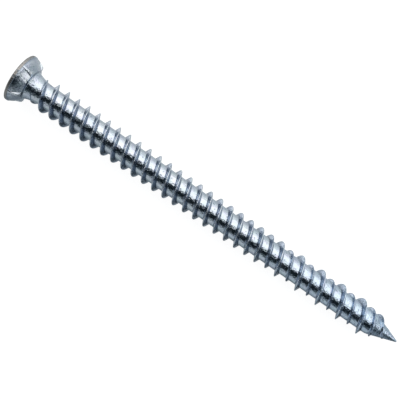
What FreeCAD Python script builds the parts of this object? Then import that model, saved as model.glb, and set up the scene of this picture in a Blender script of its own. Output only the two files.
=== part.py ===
"""Concrete frame screw, 7.5 x 102 mm, countersunk head with under-head ribs and a six-lobe drive.

The screw is cold formed from one piece of steel wire, so it is one solid. It is built standing on
its own axis (head top at the origin, point towards +Z) and then laid down on the floor, resting on
the head's rim and on the last full crest of the thread.
"""
import FreeCAD, Part
import math
import os

# Driving sizes in millimetres and degrees
length = 102.0
thread_diameter = 7.5
core_diameter = 5.15
lead = 5.5
starts = 2
crest_width = 0.2
flank_angle = 22.0
low_thread_diameter = 6.35
low_thread_from = 0.66
point_angle = 41.0
tip_diameter = 0.4
tip_rounding = 0.1
head_diameter = 11.6
rim_depth = 0.75
head_depth = 3.0
rib_count = 5
rib_thickness = 0.62
drive_point_to_point = 5.6
drive_across_flutes = 3.95
drive_lobe_radius = 0.46
drive_depth = 2.7

# Turn of the ribs and of the thread about the axis, measured right-handed from the side that lies
# uppermost, so that the screw rests as it was seen
rib_turn = -26.0
thread_turn = -87.24
thread_mark = 90.8

# Worked out from the driving sizes
core_r = core_diameter / 2
thread_r = thread_diameter / 2
head_r = head_diameter / 2
thread_height = thread_r - core_r
tip_r = tip_diameter / 2
point_length = (core_r - tip_r) / math.tan(math.radians(point_angle / 2)) + tip_rounding
point_from = length - point_length
shoulder_r = 0.5 * (core_r + head_r) - 0.2
under_head_r = head_r * 0.97
neck_r = core_r * 1.32
shoulder_end = head_depth + 0.28
neck_end = head_depth + 1.7 * core_r
thread_from = head_depth + 0.55 * core_r
full_thread_from = thread_from + 0.6 * lead
thread_to = length - 0.26 * point_length
drop_from = thread_from + low_thread_from * (point_from - thread_from)
drop_to = drop_from + 1.5 * lead
shank_from = head_depth + 0.5
steps_per_turn = 20

origin = FreeCAD.Vector(0, 0, 0)
axis = FreeCAD.Vector(0, 0, 1)


def point(radius, z, turn=0.0):
    """A point at a radius, a depth below the head's top and a turn in degrees about the axis."""
    a = math.radians(turn)
    return FreeCAD.Vector(radius * math.cos(a), radius * math.sin(a), z)


def line(*points):
    """Straight edges through the points in order."""
    return [Part.LineSegment(p, q).toShape() for p, q in zip(points, points[1:])]


def turned(edges):
    """A solid of revolution about the screw's axis from a closed run of edges."""
    return Part.Face(Part.Wire(edges)).revolve(origin, axis, 360)


def core_radius(z):
    """Radius of the shank under the thread: parallel, then the cone of the point."""
    return core_r - (core_r - tip_r) * max(0.0, (z - point_from) / (point_length - tip_rounding))


def blank():
    """The turned form without thread, ribs or drive: rim, under-head cone, neck, shank and point."""
    edge_round = 0.35 * rim_depth
    top = point(head_r - edge_round, 0)
    bend = point(head_r - 0.3 * edge_round, 0.3 * edge_round)
    side = point(head_r, edge_round)
    # the neck runs out of the shoulder and meets the shank without a corner
    drop = neck_end - shoulder_end
    inner_r = core_r * math.cos(math.pi / steps_per_turn) - 0.01
    rise = neck_r - inner_r
    sweep = (drop * drop + rise * rise) / (2 * rise)
    half = 0.5 * math.asin(drop / sweep)
    middle = point(inner_r + sweep * (1 - math.cos(half)), neck_end - sweep * math.sin(half))
    edges = line(origin, top)
    edges.append(Part.Arc(top, bend, side).toShape())
    edges += line(
        side,
        point(head_r, rim_depth),
        point(under_head_r, rim_depth),
        point(shoulder_r, head_depth),
        point(neck_r, shoulder_end),
    )
    edges.append(Part.Arc(point(neck_r, shoulder_end), middle, point(inner_r, neck_end)).toShape())
    edges += line(point(inner_r, neck_end), point(0, neck_end), origin)
    return turned(edges)


def rib():
    """One cutting rib under the head, a thin plate with a rounded outer end."""
    outer = under_head_r + 0.4 * (head_r - under_head_r)
    knee = point(shoulder_r + 0.56 * (outer - shoulder_r), 0.9 * head_depth)
    nose = point(shoulder_r + 0.28 * (outer - shoulder_r), 0.985 * head_depth)
    foot = point(shoulder_r - 0.1, head_depth + 0.02)
    edges = line(
        foot,
        point(0.7 * shoulder_r, head_depth + 0.02),
        point(0.7 * shoulder_r, 0.5 * rim_depth),
        point(outer, 0.5 * rim_depth),
        point(outer, rim_depth),
        knee,
    )
    edges.append(Part.Arc(knee, nose, foot).toShape())
    plate = Part.Face(Part.Wire(edges)).extrude(FreeCAD.Vector(0, rib_thickness, 0))
    plate.translate(FreeCAD.Vector(0, -rib_thickness / 2, 0))
    return plate


def ribs():
    """The ribs, spaced evenly round the head."""
    found = []
    for i in range(rib_count):
        one = rib()
        one.rotate(origin, axis, rib_turn + 360.0 * i / rib_count)
        found.append(one)
    return found


def drive():
    """The six-lobe recess, with a shallow cone at its bottom."""
    outer = drive_point_to_point / 2
    flute_r = drive_across_flutes / 2
    lobe_at = outer - drive_lobe_radius
    c = math.cos(math.radians(30))
    # radius of the flute that meets both lobes without a corner
    flute = (drive_lobe_radius ** 2 - flute_r ** 2 - lobe_at ** 2 + 2 * lobe_at * flute_r * c) / (
        2 * (flute_r - lobe_at * c - drive_lobe_radius)
    )
    edges = []
    for i in range(6):
        turn = 60.0 * i
        lobe = point(lobe_at, 0, turn)
        after = point(flute_r + flute, 0, turn + 30)
        before = point(flute_r + flute, 0, turn - 30)
        share = drive_lobe_radius / (drive_lobe_radius + flute)
        start = lobe + (before - lobe) * share
        end = lobe + (after - lobe) * share
        nxt = point(lobe_at, 0, turn + 60)
        meet = nxt + (after - nxt) * share
        edges.append(Part.Arc(start, point(outer, 0, turn), end).toShape())
        edges.append(Part.Arc(end, point(flute_r, 0, turn + 30), meet).toShape())
    recess = Part.Face(Part.Wire(edges)).extrude(FreeCAD.Vector(0, 0, drive_depth))
    bottom = Part.makeCone(flute_r * 0.9, 0, 0.3 * flute_r, point(0, drive_depth), axis)
    return recess.fuse(bottom)


def ridge_height(z, start):
    """Height of a ridge above the shank: it grows out of the neck and fades on the point."""
    rise = (z - thread_from) / (full_thread_from - thread_from)
    fade = (thread_to - z) / (thread_to - point_from)
    full = thread_height
    if start > 0:
        drop = min(1.0, max(0.0, (z - drop_from) / (drop_to - drop_from)))
        full -= drop * (thread_diameter - low_thread_diameter) / 2
    return full * max(0.0, min(1.0, rise, fade))


def ridges():
    """For each start of the thread, its sections from step to step: four points each, one at the ends."""
    found = []
    rise = lead / steps_per_turn
    for start in range(starts):
        mark = thread_mark - thread_turn / 360.0 * lead + start * lead / starts
        first = math.ceil((thread_from - mark) / rise)
        last = math.floor((thread_to - mark) / rise)
        sections = {}
        for step in range(first, last + 1):
            z = mark + step * rise
            turn = step * 360.0 / steps_per_turn
            height = ridge_height(z, start)
            if step in (first, last):
                sections[step] = [point(core_radius(z), z, turn)] * 4
                continue
            half_crest = crest_width / 2
            half_root = half_crest + height * math.tan(math.radians(flank_angle))
            sections[step] = [
                point(core_radius(z - half_root), z - half_root, turn),
                point(core_radius(z - half_crest) + height, z - half_crest, turn),
                point(core_radius(z + half_crest) + height, z + half_crest, turn),
                point(core_radius(z + half_root), z + half_root, turn),
            ]
        found.append(sections)
    return found


def facet(corners):
    """A flat face on its corners, or none where they run together."""
    kept = [p for i, p in enumerate(corners) if p.distanceToPoint(corners[i - 1]) > 1e-6]
    if len(kept) < 3:
        return []
    return [Part.Face(Part.makePolygon(kept + [kept[0]]))]


def bridged(left, right):
    """Three-cornered faces between two rows of points that both run towards the point."""
    faces = []
    i = j = 0
    while i < len(left) - 1 or j < len(right) - 1:
        go_left = j == len(right) - 1 or (i < len(left) - 1 and left[i + 1].z <= right[j + 1].z)
        if go_left:
            faces += facet([left[i], right[j], left[i + 1]])
            i += 1
        else:
            faces += facet([left[i], right[j], right[j + 1]])
            j += 1
    return faces


def threaded_shank():
    """The shank with its thread and point, as a skin of flat faces round steps of each turn."""
    rows = ridges()
    faces = []
    for column in range(steps_per_turn):
        passes = []
        ends = ([], [])
        for sections in rows:
            for step in sections:
                if step % steps_per_turn == column and step + 1 in sections:
                    passes.append((sections[step], sections[step + 1]))
                for side in (0, 1):
                    here = (step - side) % steps_per_turn == column
                    run = step - 1 if side == 0 else step + 1
                    if here and len(set(p.z for p in sections[step])) == 1:
                        joined = (step + 1 in sections) if side == 0 else (step - 1 in sections)
                        if not joined:
                            ends[side].append(sections[step][0])
        passes.sort(key=lambda pair: pair[0][0].z)
        turns = (column * 360.0 / steps_per_turn, (column + 1) * 360.0 / steps_per_turn)
        low = [point(core_radius(shank_from), shank_from, turn) for turn in turns]
        tip = point(0, length)
        for here, after in passes + [([tip] * 4, [tip] * 4)]:
            gap = []
            for side, top in ((0, here[0]), (1, after[0])):
                between = [p for p in ends[side] if low[side].z + 1e-6 < p.z < top.z - 1e-6]
                ends_of_cone = [(core_r, point_from), (tip_r, length - tip_rounding)]
                corner = [point(r, z, turns[side]) for r, z in ends_of_cone if low[side].z < z < top.z]
                gap.append([low[side]] + sorted(between + corner, key=lambda p: p.z) + [top])
            if max(gap[0][-1].z, gap[1][-1].z) <= point_from:
                faces += facet(gap[0] + gap[1][::-1])
            else:
                faces += bridged(gap[0], gap[1])
            if here[0] is not tip:
                faces += facet([here[0], here[1], after[1]]) + facet([here[0], after[1], after[0]])
                faces += facet([here[1], here[2], after[2]]) + facet([here[1], after[2], after[1]])
                faces += facet([here[2], here[3], after[3]]) + facet([here[2], after[3], after[2]])
            low = [here[3], after[3]]
    ring = [point(core_r, shank_from, i * 360.0 / steps_per_turn) for i in range(steps_per_turn)]
    faces += facet(ring)
    shell = Part.makeShell(faces)
    shell.sewShape()
    solid = Part.makeSolid(shell)
    if solid.Volume < 0:
        solid.reverse()
    return solid


def screw():
    """The whole screw as one solid, standing on its axis."""
    head = blank().fuse(ribs()).cut(drive())
    return head.removeSplitter().fuse(threaded_shank()).Solids[0]


def laid_down(solid):
    """The screw at rest, point towards +X, on its rim and the last full crest, over the frame's origin."""
    bottom = thread_mark + (180.0 - thread_turn) / 360.0 * lead
    crest_z = bottom - math.ceil((bottom - point_from) / lead) * lead
    tilt = math.degrees(math.atan2(head_r - thread_r, crest_z - rim_depth))
    solid.rotate(origin, axis, 180)
    solid.rotate(origin, FreeCAD.Vector(0, 1, 0), 90 + tilt)
    box = solid.optimalBoundingBox(False, False)
    solid.translate(FreeCAD.Vector(-box.Center.x, 0, -box.ZMin))
    return solid


os.makedirs("parts", exist_ok=True)
laid_down(screw()).exportStep("parts/frame_screw.step")
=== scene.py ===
"""Dresses the concrete frame screw: a smooth mesh for its solid, bright zinc and a soft studio.

The screw is worked out as it stands on its own axis, by depth below the head's top, radius and
turn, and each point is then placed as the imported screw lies. The camera looks down square onto it.
"""
import math

import bmesh
import bpy
import numpy as np
from mathutils import Matrix, Vector


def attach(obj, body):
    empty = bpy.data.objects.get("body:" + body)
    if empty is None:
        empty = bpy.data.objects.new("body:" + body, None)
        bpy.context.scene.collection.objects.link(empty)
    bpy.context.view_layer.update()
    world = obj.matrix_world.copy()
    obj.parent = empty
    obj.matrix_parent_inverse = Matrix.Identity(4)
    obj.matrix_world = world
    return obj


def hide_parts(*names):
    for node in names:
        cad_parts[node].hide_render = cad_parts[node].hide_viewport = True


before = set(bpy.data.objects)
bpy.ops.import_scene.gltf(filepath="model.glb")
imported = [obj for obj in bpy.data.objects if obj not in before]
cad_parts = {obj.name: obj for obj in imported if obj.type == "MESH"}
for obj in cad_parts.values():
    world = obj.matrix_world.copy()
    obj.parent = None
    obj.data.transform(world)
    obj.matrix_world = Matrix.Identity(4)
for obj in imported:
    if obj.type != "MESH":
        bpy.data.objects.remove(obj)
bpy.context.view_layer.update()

# The part's driving sizes in millimetres and degrees, as in its source, but with a slimmer point
length = 102.0
thread_diameter = 7.5
core_diameter = 5.15
lead = 5.5
starts = 2
crest_width = 0.2
flank_angle = 22.0
low_thread_diameter = 6.35
low_thread_from = 0.66
point_angle = 38.5
tip_diameter = 0.4
tip_rounding = 0.1
head_diameter = 11.6
rim_depth = 0.75
head_depth = 3.0
rib_count = 5
rib_thickness = 0.62
drive_point_to_point = 5.6
drive_across_flutes = 3.95
drive_lobe_radius = 0.46
drive_depth = 2.7
rib_turn = -26.0
thread_turn = -87.24
thread_mark = 90.8

# What only this mesh has: it stays a little inside the solid's rim, the cone under the head swells,
# the bends of the thread, the point and the drive are rounded, and the thread runs out on the point
# in a hollow curve
inside_rim = 0.004
cone_swell = 0.24
crest_rounding = 0.22
root_rounding = 0.18
point_rounding = 0.25
tip_bluntness = 1.1
run_out_power = 1.6
drive_edge = 0.12

# Worked out from the driving sizes, as in the part's source
core_r = core_diameter / 2
thread_r = thread_diameter / 2
thread_height = thread_r - core_r
half_spacing = lead / starts / 2
head_r = head_diameter / 2 - inside_rim
tip_r = tip_diameter / 2
point_length = (core_r - tip_r) / math.tan(math.radians(point_angle / 2)) + tip_rounding
point_from = length - point_length
shoulder_r = 0.5 * (core_r + head_r) - 0.2
under_head_r = head_r * 0.97
rim_rounding = 0.35 * rim_depth
neck_r = core_r * 1.32
shoulder_end = head_depth + 0.28
neck_end = head_depth + 1.7 * core_r
thread_from = head_depth + 0.55 * core_r
full_thread_from = thread_from + 0.6 * lead
thread_to = length - 0.26 * point_length
drop_from = thread_from + low_thread_from * (point_from - thread_from)
drop_to = drop_from + 1.5 * lead

# How fine the mesh is: columns round the head, steps round each turn of the thread, the depth where
# they meet, and the decimals of a millimetre to which points count as one
head_columns = 180
thread_steps = 60
seam_z = 4.3
same_point_decimals = 4

# The screw as it lies: the middle of the head's top, the way to the point, and the side that is up
MM = 0.001
head_top = np.array((-50.9276, 0, 5.8171))
tilt = math.radians(1.2476)
along = np.array((math.cos(tilt), 0, -math.sin(tilt)))
up = np.array((math.sin(tilt), 0, math.cos(tilt)))
side = np.array((0, 1, 0))

# The camera looks square onto the screw, which runs from upper left to lower right in the picture
camera_distance = 165.19
camera_focal_px = 745.4
picture_px = 400.0
sensor_mm = 36.0
screw_slope = math.radians(35.07)
aim_along = 48.345
aim_aside = 0.688


def placed(radius, z, turn):
    """Points of the lying screw, in metres, from radius, depth below the head's top and turn."""
    a = np.radians(turn)
    r = np.asarray(radius)[..., None]
    ray = np.cos(a)[..., None] * up - np.sin(a)[..., None] * side
    return (head_top + np.asarray(z)[..., None] * along + r * ray) * MM


def smooth_min(a, b, k):
    """The lower of two values, with a rounded bend where they come within k of each other."""
    return np.minimum(a, b) - np.maximum(k - np.abs(a - b), 0) ** 2 / (4 * k)


def smooth_max(a, b, k):
    """The higher of two values, rounded in the same way."""
    return -smooth_min(-a, -b, k)


def shank_radius(z):
    """Radius under the thread: neck, parallel shank, then the cone of the point, its end blunt."""
    rise = neck_r - core_r
    drop = neck_end - shoulder_end
    sweep = (drop * drop + rise * rise) / (2 * rise)
    below = np.clip(neck_end - z, 0, drop)
    neck = core_r + sweep - np.sqrt(sweep * sweep - below * below)
    cone = core_r - (core_r - tip_r) * (z - point_from) / (point_length - tip_rounding)
    blunt = np.sqrt(np.clip(length - z, 0, None) * tip_bluntness)
    return np.minimum(smooth_min(neck, cone, point_rounding), blunt)


def ridge_height(z, start):
    """Height of a ridge above the shank: it grows out of the neck and fades on the point."""
    rise = (z - thread_from) / (full_thread_from - thread_from)
    fade = (thread_to - z) / (thread_to - point_from)
    full = thread_height
    if start > 0:
        drop = np.clip((z - drop_from) / (drop_to - drop_from), 0, 1)
        full = full - drop * (thread_diameter - low_thread_diameter) / 2
    return full * np.minimum(np.clip(rise, 0, 1), np.clip(fade, 0, 1) ** run_out_power)


def ridge_profile(across, height):
    """Height above the shank at a distance from a crest's middle, less rounded on low ridges."""
    k_crest = np.minimum(crest_rounding, 0.3 * height) + 1e-4
    k_root = np.minimum(root_rounding, 0.4 * height) + 1e-4
    flank = height - (np.abs(across) - crest_width / 2) / math.tan(math.radians(flank_angle))
    return smooth_max(smooth_min(height, flank, k_crest), 0 * height, k_root)


# Columns across a ridge, as shares of the way down its flank and of the way from its root to the
# middle between two ridges, and the height below which the columns of a flank draw no closer
flank_shares = (0.1, 0.35, 0.62, 0.82, 1.0)
between_shares = (0.07, 0.16, 0.34, 0.56, 0.78, 1.0)
least_flank = 0.15


def ridge_columns(height):
    """Distances from the middle of a crest, to both sides, at which a ridge has its columns."""
    crest = crest_width / 2 + 0 * height
    root = crest + np.maximum(height, least_flank) * math.tan(math.radians(flank_angle))
    found = [0 * crest, 0.75 * crest, crest]
    found += [crest + share * (root - crest) for share in flank_shares]
    found += [root + share * (half_spacing - root) for share in between_shares]
    found = [-distance for distance in found[:0:-1]] + found
    return np.stack(found, axis=-1)


class Skin:
    """Points and faces for one mesh; marks say how much a point is a crest, gets painted shade, or
    is worn.
    """

    def __init__(self):
        self.points = []
        self.marks = {"crest": [], "hollow": [], "worn": []}
        self.faces = []
        self.count = 0

    def add(self, points, **marks):
        """Adds a block of points with their marks, 0 where not given, and gives their numbers."""
        shape = points.shape[:-1]
        numbers = self.count + np.arange(math.prod(shape)).reshape(shape)
        self.points.append(points.reshape(-1, 3))
        for name, values in self.marks.items():
            values.append((np.zeros(shape) + marks.get(name, 0.0)).reshape(-1))
        self.count += numbers.size
        return numbers

    def quads(self, numbers, closed=False):
        """Faces between neighbours in a block; closed joins its last column to the first."""
        after = np.roll(numbers, -1, axis=1)
        last = numbers.shape[1] if closed else numbers.shape[1] - 1
        quad = np.stack([numbers[:-1], after[:-1], after[1:], numbers[1:]], axis=-1)[:, :last]
        self.faces += quad.reshape(-1, 4).tolist()

    def mesh(self, name):
        """The mesh, with points in the same place made one and faces that close up left out."""
        points = np.concatenate(self.points)
        rounded = np.round(points / MM, same_point_decimals)
        _, first, same = np.unique(rounded, axis=0, return_index=True, return_inverse=True)
        same = same.reshape(-1)
        faces = []
        for face in self.faces:
            kept = [int(same[i]) for i in face]
            kept = [n for i, n in enumerate(kept) if n != kept[i - 1]]
            if len(kept) > 2:
                faces.append(kept)
        mesh = bpy.data.meshes.new(name)
        mesh.from_pydata(points[first].tolist(), [], faces)
        for label, values in self.marks.items():
            values = np.concatenate(values)[first].astype(np.float32)
            mesh.attributes.new(label, "FLOAT", "POINT").data.foreach_set("value", values)
        work = bmesh.new()
        work.from_mesh(mesh)
        bmesh.ops.recalc_face_normals(work, faces=work.faces)
        work.to_mesh(mesh)
        work.free()
        mesh.shade_smooth()
        return mesh


# Painted shade along the roots of the thread: at this distance from a crest's middle, fading over
# this reach to each side, cut off at 1 from this top, and in full on ridges of this height
root_shade_at = 0.48
root_shade_reach = 0.2
root_shade_top = 1.4
root_shade_full_height = 0.8


def add_thread(skin):
    """The shank and its ridges as bands along the thread; gives the ring that joins the head."""
    rise = lead / thread_steps
    for start in range(starts):
        mark = thread_mark - thread_turn / 360.0 * lead + start * lead / starts
        first = math.floor((seam_z - half_spacing - mark) / rise)
        last = math.ceil((length + half_spacing - mark) / rise)
        steps = np.arange(first, last + 1)
        middle = mark + steps * rise
        height = ridge_height(middle, start)
        across = ridge_columns(height)
        depth = middle[:, None] + across
        z = np.clip(depth, seam_z, length)
        ridge = ridge_profile(across, height[:, None] + 0 * across)
        ridge = np.where(depth <= seam_z, 0, ridge)
        radius = np.where(depth >= length, 0, shank_radius(z) + ridge)
        turn = (steps % thread_steps * 360.0 / thread_steps)[:, None] + 0 * across
        # Painted shade along the thread's roots, carried as a mark on the mesh
        from_root = np.abs(np.abs(across) - root_shade_at)
        root = np.clip(root_shade_top - from_root / root_shade_reach, 0, 1)
        root = root * np.clip(height / root_shade_full_height, 0, 1)[:, None]
        skin.quads(skin.add(placed(radius, z, turn), crest=ridge / thread_height, hollow=root))
    turn = np.arange(thread_steps) * 360.0 / thread_steps
    z = seam_z + 0 * turn
    return skin.add(placed(shank_radius(z), z, turn))


# The head's columns: the same number in each rib's sector, from the middle of the rib to the next
sector = 360.0 / rib_count
sector_columns = head_columns // rib_count
sector_starts = np.repeat(rib_turn + sector * np.arange(rib_count), sector_columns)
even_columns = np.arange(sector_columns) * sector / sector_columns
# Distances from a rib's side to the columns near it, and where that side begins to drop to the
# pocket and over what width
beside_rib = (-0.2, -0.12, -0.07, -0.035, -0.01, 0.01, 0.035, 0.08, 0.15, 0.25)
rib_offsets = np.array([0.0] + [rib_thickness / 2 + step for step in beside_rib])
rib_side_from = rib_thickness / 2 - 0.09
rib_side_width = 0.17


def rib_columns(radius):
    """Turns of a sector's columns at a radius where they follow the ribs."""
    near = np.degrees(np.arcsin(rib_offsets / max(radius, core_r)))
    spread = np.linspace(near[-1], sector / 2, sector_columns // 2 - len(near) + 2)[1:]
    half = np.concatenate([near, spread])
    return np.concatenate([half, sector - half[-2:0:-1]])


def rib_carried():
    """How much of a rib each column of the head carries, from 1 on its top to 0 in the pocket."""
    t = np.clip((rib_offsets - rib_side_from) / rib_side_width, 0, 1)
    pocket = np.zeros(sector_columns // 2 - len(rib_offsets) + 1)
    half = np.concatenate([1 - t * t * (3 - 2 * t), pocket])
    return np.tile(np.concatenate([half, half[-2:0:-1]]), rib_count)


def column_turns(radius, follow=1.0):
    """Turns of the head's columns on a ring that follows the ribs wholly, partly or not at all."""
    local = follow * rib_columns(radius) + (1 - follow) * even_columns
    return sector_starts + np.tile(local, rib_count)


def drive_radius(turn):
    """Radius of the recess at a turn about the axis: six lobes with flutes between them."""
    flute_r = drive_across_flutes / 2
    lobe_at = drive_point_to_point / 2 - drive_lobe_radius
    c = math.cos(math.radians(30))
    flute = (drive_lobe_radius ** 2 - flute_r ** 2 - lobe_at ** 2 + 2 * lobe_at * flute_r * c) / (
        2 * (flute_r - lobe_at * c - drive_lobe_radius)
    )
    off_lobe = np.radians(np.abs((turn + 30.0) % 60.0 - 30.0))
    off_flute = np.radians(30.0) - off_lobe
    flute_at = flute_r + flute
    share = drive_lobe_radius / (drive_lobe_radius + flute)
    meet = math.atan2(share * flute_at * 0.5, lobe_at + share * (flute_at * c - lobe_at))
    lobe_chord = np.clip(drive_lobe_radius ** 2 - (lobe_at * np.sin(off_lobe)) ** 2, 0, None)
    flute_chord = np.clip(flute ** 2 - (flute_at * np.sin(off_flute)) ** 2, 0, None)
    on_lobe = lobe_at * np.cos(off_lobe) + np.sqrt(lobe_chord)
    on_flute = flute_at * np.cos(off_flute) - np.sqrt(flute_chord)
    return np.where(off_lobe < meet, on_lobe, on_flute)


# Rings of the head, closer together at bends. Shares run from 0 to 1 over the surface on which the
# rings lie; the bend of the drive's edge is given outwards and down, in widths of that edge.
drive_bottom_shares = (0.0, 0.3, 0.6, 0.85, 0.97)
drive_wall_shares = (0.97, 0.8, 0.6, 0.4, 0.2)
drive_edge_bend = ((0, 1.35), (0.02, 1.05), (0.35, 0.6), (0.75, 0.18), (1.0, 0.04), (1.25, 0))
top_shares = (0.25, 0.55, 0.8, 0.95, 1.0)
rim_bend_angles = (8, 22, 40, 58, 75, 90)
rim_middle = 0.5 * (rim_rounding + rim_depth)
rim_depths = (rim_rounding + 0.05, rim_middle, rim_depth - 0.09, rim_depth - 0.05)
pocket_shares = (0.03, 0.1, 0.25, 0.42, 0.58, 0.72, 0.84, 0.93, 0.98)
rib_shares = (0.03, 0.12, 0.3, 0.5, 0.7, 0.87, 0.98)
shoulder_shares = (0.2, 0.45, 0.7, 0.9)
# The bends of the rim's lower edge and of a rib's knee, as radius and depth from the corner
rim_edge_bend = ((-0.015, -0.015), (-0.05, 0.0))
knee_bend = ((-0.12, 0.16), (-0.32, 0.27))
# How much the neck's rings still follow the ribs, and their depths
neck_rings = ((0.5, 3.3), (0.4, 3.42), (0.3, 3.6), (0.2, 3.8), (0.1, 4.0), (0.0, seam_z - 0.1))
# Where the cone under the head turns into the shoulder
foot_r = shoulder_r - 0.08
foot_z = head_depth + 0.05
# How much painted shade and how much wear the rings of each part are marked with for the material
rim_corner_shade = 0.9
pocket_shade = 0.25
shoulder_shade = 0.93
neck_shade = 0.5
seat_worn = 0.12


def ring(radius, z, follow=1.0, **marks):
    """The points of one ring of the head at one depth, and their marks."""
    turn = column_turns(float(np.max(radius)), follow)
    return placed(radius + 0 * turn, z + 0 * turn, turn), marks


def drive_and_top_rings():
    """From the bottom of the drive up its wall, over its edge and out across the head's top."""
    recess = drive_radius(column_turns(1.0, 0.0))
    bottom_cone = 0.3 * drive_across_flutes / 2
    # Painted shade in the drive: full at its bottom, fading up its wall
    for share in drive_bottom_shares:
        yield ring(share * recess, drive_depth + bottom_cone * (1 - share), 0, hollow=1.0)
    for share in drive_wall_shares:
        yield ring(recess, drive_depth * share, 0, hollow=0.4 + 0.6 * share)
    for out, down in drive_edge_bend:
        yield ring(recess + out * drive_edge, down * drive_edge, 0)
    inner = recess + drive_edge_bend[-1][0] * drive_edge
    for share in top_shares:
        yield ring((1 - share) * inner + share * (head_r - rim_rounding), 0, share)


def rim_rings():
    """Over the rim's rounded upper edge and down its side."""
    for angle in rim_bend_angles:
        a = math.radians(angle)
        radius = head_r - rim_rounding + rim_rounding * math.sin(a)
        yield ring(radius, rim_rounding * (1 - math.cos(a)), worn=1.0)
    for z in rim_depths:
        yield ring(head_r, z, worn=1.0)


def seat_profiles():
    """Radius and depth of the rings from the rim's edge to the shoulder: in a pocket, on a rib."""
    ledge = head_r - under_head_r
    rib_outer = under_head_r + 0.4 * ledge
    knee_r = shoulder_r + 0.56 * (rib_outer - shoulder_r)
    knee_z = 0.9 * head_depth
    edge = [(head_r + out, rim_depth + down) for out, down in rim_edge_bend]
    pocket = [(under_head_r + 0.35 * ledge, rim_depth)]
    pocket += [(under_head_r + 0.1 * ledge, rim_depth + 0.01)]
    for share in pocket_shares:
        radius = under_head_r + share * (shoulder_r - under_head_r)
        swell = cone_swell * math.sin(math.pi * share ** 0.8)
        pocket.append((radius + swell, rim_depth + share * (head_depth - rim_depth)))
    pocket += [(shoulder_r - 0.01, head_depth + 0.01), (foot_r, foot_z)]
    rib = [(rib_outer + 0.04, rim_depth), (rib_outer + 0.005, rim_depth + 0.02)]
    for share in rib_shares:
        radius = rib_outer + share * (knee_r - rib_outer)
        swell = 0.3 * cone_swell * math.sin(math.pi * share)
        rib.append((radius + swell, rim_depth + share * (knee_z - rim_depth)))
    rib += [(knee_r + out, knee_z + down) for out, down in knee_bend]
    rib += [(knee_r - 0.55, head_depth + 0.04), (foot_r, foot_z)]
    return edge + pocket, edge + rib


def seat_rings():
    """The cone under the head with its ribs: each column lies between the pocket and the rib."""
    carried = rib_carried()
    for i, (pocket, rib) in enumerate(zip(*seat_profiles())):
        radius = pocket[0] + carried * (rib[0] - pocket[0])
        z = pocket[1] + carried * (rib[1] - pocket[1])
        turn = column_turns(0.5 * (pocket[0] + rib[0]))
        # Painted shade in the corner under the rim and, fainter, further down the pockets; none on
        # the ribs
        in_rim_corner = 2 <= i <= 5
        hollow = rim_corner_shade if in_rim_corner else pocket_shade * min(1.0, i / 6)
        yield placed(radius, z, turn), {"hollow": (1 - carried) * hollow, "worn": seat_worn}


def neck_and_shoulder_rings():
    """In from the foot of the cone to the neck, and down the neck to the thread."""
    # Painted shade on the shoulder, and lighter painted shade on the neck
    for share in shoulder_shares:
        radius = foot_r + share * (neck_r - foot_r)
        z = foot_z + share * (shoulder_end - foot_z)
        yield ring(radius, z, 1 - share / 2, hollow=shoulder_shade)
    for follow, z in neck_rings:
        yield ring(float(shank_radius(np.array(z))), z, follow, hollow=neck_shade)


def add_head(skin, shank_ring):
    """The head, from the bottom of the drive over the top and the rim to the shank's ring."""
    rings = []
    for part in (drive_and_top_rings, rim_rings, seat_rings, neck_and_shoulder_rings):
        rings += [skin.add(points, **marks) for points, marks in part()]
    skin.quads(np.stack(rings), closed=True)
    # fan the last ring of the head onto the coarser ring of the shank
    order = np.argsort(column_turns(1.0, 0.0) % 360.0)
    last = rings[-1][order].tolist()
    per_step = head_columns // thread_steps
    half = (per_step + 1) // 2
    for i in range(thread_steps):
        a, b = int(shank_ring[i]), int(shank_ring[(i + 1) % thread_steps])
        row = [last[(per_step * i + k) % head_columns] for k in range(per_step + 1)]
        for k in range(per_step):
            skin.faces.append([row[k], row[k + 1], a if k < half else b])
        skin.faces.append([row[half], b, a])


def add_camera():
    """The camera at the photograph's angle, with the screw as large and as steep in the picture."""
    right = along * math.cos(screw_slope) + side * math.sin(screw_slope)
    over = side * math.cos(screw_slope) - along * math.sin(screw_slope)
    place = (head_top + along * aim_along + side * aim_aside + up * camera_distance) * MM
    data = bpy.data.cameras.new("camera")
    data.sensor_width = sensor_mm
    data.lens = sensor_mm * camera_focal_px / picture_px
    data.clip_start = 0.01
    camera = bpy.data.objects.new("camera", data)
    bpy.context.scene.collection.objects.link(camera)
    axes = Matrix([right.tolist(), over.tolist(), up.tolist()]).transposed().to_4x4()
    camera.matrix_world = Matrix.Translation(Vector(place.tolist())) @ axes
    bpy.context.scene.camera = camera


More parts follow.
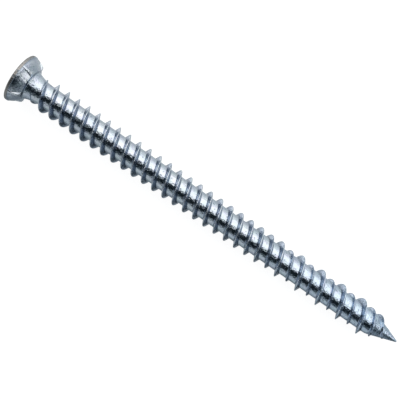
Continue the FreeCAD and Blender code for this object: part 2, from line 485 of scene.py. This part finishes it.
class Graph:
    """Short way to write a node tree: each call adds a node, and all but node() give its output."""

    def __init__(self, tree):
        self.tree = tree
        self.nodes = tree.nodes
        self.nodes.clear()

    def node(self, kind, inputs=(), **settings):
        """Adds a node. An input is another node's output, a number, or a tuple for a colour."""
        made = self.nodes.new(kind)
        for name, value in settings.items():
            setattr(made, name, value)
        for key, value in dict(inputs).items():
            if hasattr(value, "links"):
                self.tree.links.new(value, made.inputs[key])
            else:
                made.inputs[key].default_value = (*value, 1) if isinstance(value, tuple) else value
        return made

    def math(self, operation, *values):
        """One sum on numbers and outputs."""
        return self.node("ShaderNodeMath", enumerate(values), operation=operation).outputs[0]

    def noise(self, place, scale, detail):
        """Noise from 0 to 1; scale is in waves a metre."""
        inputs = {"Vector": place, "Scale": scale, "Detail": detail}
        return self.node("ShaderNodeTexNoise", inputs).outputs["Fac"]

    def mark(self, name):
        """One of the marks that the mesh carries."""
        return self.node("ShaderNodeAttribute", attribute_name=name).outputs["Fac"]

    def fade(self, value, low, high):
        """0 below low, 1 above high and a soft step between them."""
        inputs = {0: value, 1: low, 2: high}
        return self.node("ShaderNodeMapRange", inputs, interpolation_type="SMOOTHSTEP").outputs[0]

    def mix(self, share, first, second):
        """The first colour at share 0, the second at 1, and a blend between."""
        inputs = {0: share, 6: first, 7: second}
        return self.node("ShaderNodeMix", inputs, data_type="RGBA").outputs[2]

    def tint(self, colour, where, strength, tone):
        """Lays a tone over a colour, where a mask says, up to a strength."""
        return self.mix(self.math("MULTIPLY", where, strength), colour, tone)

    def ramp(self, value, stops):
        """A colour that runs through the stops, each a place from 0 to 1 and a colour."""
        made = self.node("ShaderNodeValToRGB", {0: value})
        spots = made.color_ramp.elements
        while len(spots) < len(stops):
            spots.new(0.5)
        for spot, (at, colour) in zip(spots, stops):
            spot.position = at
            spot.color = (*colour, 1)
        return made.outputs[0]


# What the screw mirrors, as brightness by angle round it from straight up: positive on the side
# that is lower in the picture. The room differs towards the head's end and the point's end.
room_middle = (
    (-180, 0.48), (-152, 0.47), (-130, 0.40), (-96, 0.55), (-66, 0.80), (-54, 1.00), (-14, 1.00),
    (2, 0.26), (12, 0.014), (46, 0.008), (60, 0.067), (78, 0.32), (92, 0.43), (112, 0.34),
    (138, 0.165), (162, 0.22), (180, 0.46),
)
room_at_head = (
    (-180, 1.00), (-150, 0.90), (-125, 0.25), (-100, 0.06), (-80, 0.06), (-62, 0.30), (-50, 1.00),
    (-10, 1.00), (2, 0.25), (12, 0.02), (30, 0.03), (48, 0.09), (66, 0.30), (90, 0.60), (120, 0.70),
    (180, 0.75),
)
room_at_point = (
    (-180, 0.30), (-120, 0.38), (-60, 0.32), (-15, 0.28), (0, 0.10), (15, 0.025), (66, 0.03),
    (88, 0.20), (104, 0.14), (122, 0.14), (140, 0.04), (180, 0.025),
)
room_past_head = (
    (-180, 0.30), (-60, 0.20), (-30, 0.15), (0, 0.12), (25, 0.09), (50, 0.08), (80, 0.60),
    (180, 0.90),
)
room_past_point = (
    (-180, 0.30), (-90, 0.75), (-50, 1.00), (-20, 0.95), (-2, 0.50), (20, 0.19), (50, 0.07),
    (80, 0.19), (110, 0.35), (180, 0.30),
)
# Each part of the room with the end it lies towards, 1 for the point and -1 for the head, and how
# far towards that end a mirrored direction leans where the part begins and where it is whole
rooms = (
    (room_middle, 1, -2.0, -1.5),
    (room_at_point, 1, 0.36, 0.64),
    (room_past_point, 1, 0.74, 0.88),
    (room_at_head, -1, 0.50, 0.66),
    (room_past_head, -1, 0.84, 0.92),
)
room_strength = 1.27
# Powers of the brightness for red, green and blue, which turn the room's darker sides a little blue
room_colour_powers = (1.16, 1.06, 1.0)


def add_world():
    """A soft studio room, seen only in reflections: the camera itself sees a white background."""
    world = bpy.data.worlds.new("world")
    bpy.context.scene.world = world
    world.use_nodes = True
    g = Graph(world.node_tree)
    direction = g.node("ShaderNodeTexCoord").outputs["Generated"]
    way = g.node("ShaderNodeSeparateXYZ", {0: direction}).outputs
    round_it = g.math("ARCTAN2", g.math("MULTIPLY", way[1], -1.0), way[2])
    turn = g.math("MULTIPLY_ADD", round_it, 0.5 / math.pi, 0.5)
    seen = (0, 0, 0)
    for room, end, begins, whole in rooms:
        stops = []
        for angle, light in room:
            stops.append((angle / 360.0 + 0.5, [light ** power for power in room_colour_powers]))
        share = g.fade(g.math("MULTIPLY", way[0], end), begins, whole)
        seen = g.mix(share, seen, g.ramp(turn, stops))
    mirrored = g.node("ShaderNodeBackground", {"Color": seen, "Strength": room_strength}).outputs[0]
    white = g.node("ShaderNodeBackground", {"Color": (1, 1, 1), "Strength": 1.0}).outputs[0]
    to_camera = g.node("ShaderNodeLightPath").outputs["Is Camera Ray"]
    both = g.node("ShaderNodeMixShader", {0: to_camera, 1: mirrored, 2: white}).outputs[0]
    g.node("ShaderNodeOutputWorld", {"Surface": both})


# The floor: half its side in metres, its colour to the light, and what the camera sees of it, an
# even white with just enough of a lit surface for the shadow
floor_half = 2.0
floor_colour = (0.8, 0.81, 0.82)
floor_lit = (0.3, 0.3, 0.3)
floor_white = 0.93


def add_floor():
    """A pale floor that stays white to the camera apart from a faint shadow under the screw."""
    mesh = bpy.data.meshes.new("floor")
    corners = [(x * floor_half, y * floor_half, 0) for x, y in ((-1, -1), (1, -1), (1, 1), (-1, 1))]
    mesh.from_pydata(corners, [], [(0, 1, 2, 3)])
    floor = bpy.data.objects.new("floor", mesh)
    bpy.context.scene.collection.objects.link(floor)
    paint = bpy.data.materials.new("floor")
    paint.use_nodes = True
    g = Graph(paint.node_tree)
    matt = g.node("ShaderNodeBsdfDiffuse", {"Color": floor_colour}).outputs[0]
    lit = g.node("ShaderNodeBsdfDiffuse", {"Color": floor_lit}).outputs[0]
    glow = g.node("ShaderNodeEmission", {"Color": (1, 1, 1), "Strength": floor_white}).outputs[0]
    shown = g.node("ShaderNodeAddShader", {0: lit, 1: glow}).outputs[0]
    to_camera = g.node("ShaderNodeLightPath").outputs["Is Camera Ray"]
    both = g.node("ShaderNodeMixShader", {0: to_camera, 1: matt, 2: shown}).outputs[0]
    g.node("ShaderNodeOutputMaterial", {"Surface": both})
    mesh.materials.append(paint)
    floor.visible_glossy = False


# Tones of the metal
zinc_dull = (0.71, 0.78, 0.86)
zinc_bright = (0.82, 0.86, 0.90)
zinc_past_middle = (0.66, 0.79, 0.93)
film_violet = (0.76, 0.73, 0.90)
film_green = (0.72, 0.86, 0.84)
worn_tone = (0.44, 0.42, 0.40)
# Painted shade for hollows, and a darker painted shade for their deepest corners
painted_shade_tone = (0.36, 0.43, 0.54)
painted_corner_shade = (0.12, 0.15, 0.20)
# Painted shade on the thread's flanks
painted_flank_shade = (0.34, 0.41, 0.53)
pit_tone = (0.28, 0.34, 0.40)
# Noise on the metal, as waves a metre and detail: clouds, the coating's film, pits, dents and grain
cloud_noise = (420.0, 3.0)
film_noise = (1100.0, 1.0)
pit_noise = (1400.0, 1.0)
dent_noise = (2200.0, 2.0)
grain_noise = (4200.0, 4.0)
# How far, in metres, a bump of height 1 stands out
bump_depth = 0.000034


def zinc_steel():
    """Bright zinc on steel: a faint film, dents, pits, a greyer rim, and painted shade in hollows
    and on flanks.
    """
    metal = bpy.data.materials.new("zinc_steel")
    metal.use_nodes = True
    g = Graph(metal.node_tree)
    place = g.node("ShaderNodeTexCoord").outputs["Object"]
    crest, hollow, worn = g.mark("crest"), g.mark("hollow"), g.mark("worn")
    cloud = g.noise(place, *cloud_noise)
    film = g.noise(place, *film_noise)
    dents = g.noise(place, *dent_noise)
    grain = g.noise(place, *grain_noise)
    pits = g.fade(g.noise(place, *pit_noise), 0.64, 0.72)
    past_middle = g.fade(g.node("ShaderNodeSeparateXYZ", {0: place}).outputs[0], 0.0, 0.05)
    # A mask for painted shade on the thread's flanks, between crest and root
    flank = g.math("SUBTRACT", g.fade(crest, 0.05, 0.35), g.fade(crest, 0.80, 0.95))

    tone = g.mix(g.fade(cloud, 0.35, 0.65), zinc_dull, zinc_bright)
    tone = g.mix(past_middle, tone, zinc_past_middle)
    tone = g.tint(tone, g.fade(film, 0.52, 0.68), 0.4, film_violet)
    tone = g.tint(tone, g.fade(g.math("SUBTRACT", 1.0, film), 0.52, 0.68), 0.4, film_green)
    tone = g.mix(worn, tone, worn_tone)
    # Painted shade in the hollows, darker still in their deepest corners
    tone = g.tint(tone, hollow, 0.5, painted_shade_tone)
    tone = g.tint(tone, g.fade(hollow, 0.85, 1.0), 0.7, painted_corner_shade)
    tone = g.tint(tone, flank, 0.6, painted_flank_shade)
    tone = g.tint(tone, pits, 0.7, pit_tone)

    rough = g.math("MULTIPLY_ADD", cloud, 0.08, 0.09)
    height = g.math("MULTIPLY", dents, 3.0)
    for where, rougher in ((pits, 0.2), (crest, 0.04), (worn, 0.3)):
        rough = g.math("MULTIPLY_ADD", where, rougher, rough)
    for where, higher in ((grain, 0.3), (pits, -0.3)):
        height = g.math("MULTIPLY_ADD", where, higher, height)
    inputs = {"Height": height, "Strength": 1.0, "Distance": bump_depth}
    bump = g.node("ShaderNodeBump", inputs).outputs[0]
    inputs = {"Base Color": tone, "Metallic": 1.0, "Roughness": rough, "Normal": bump}
    shader = g.node("ShaderNodeBsdfPrincipled", inputs).outputs[0]
    g.node("ShaderNodeOutputMaterial", {"Surface": shader})
    return metal


skin = Skin()
add_head(skin, add_thread(skin))
screw = bpy.data.objects.new("screw", skin.mesh("screw"))
bpy.context.scene.collection.objects.link(screw)
screw.data.materials.append(zinc_steel())
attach(screw, "root")
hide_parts("frame_screw")

add_camera()
add_world()
add_floor()
bpy.context.scene.view_settings.view_transform = "Standard"
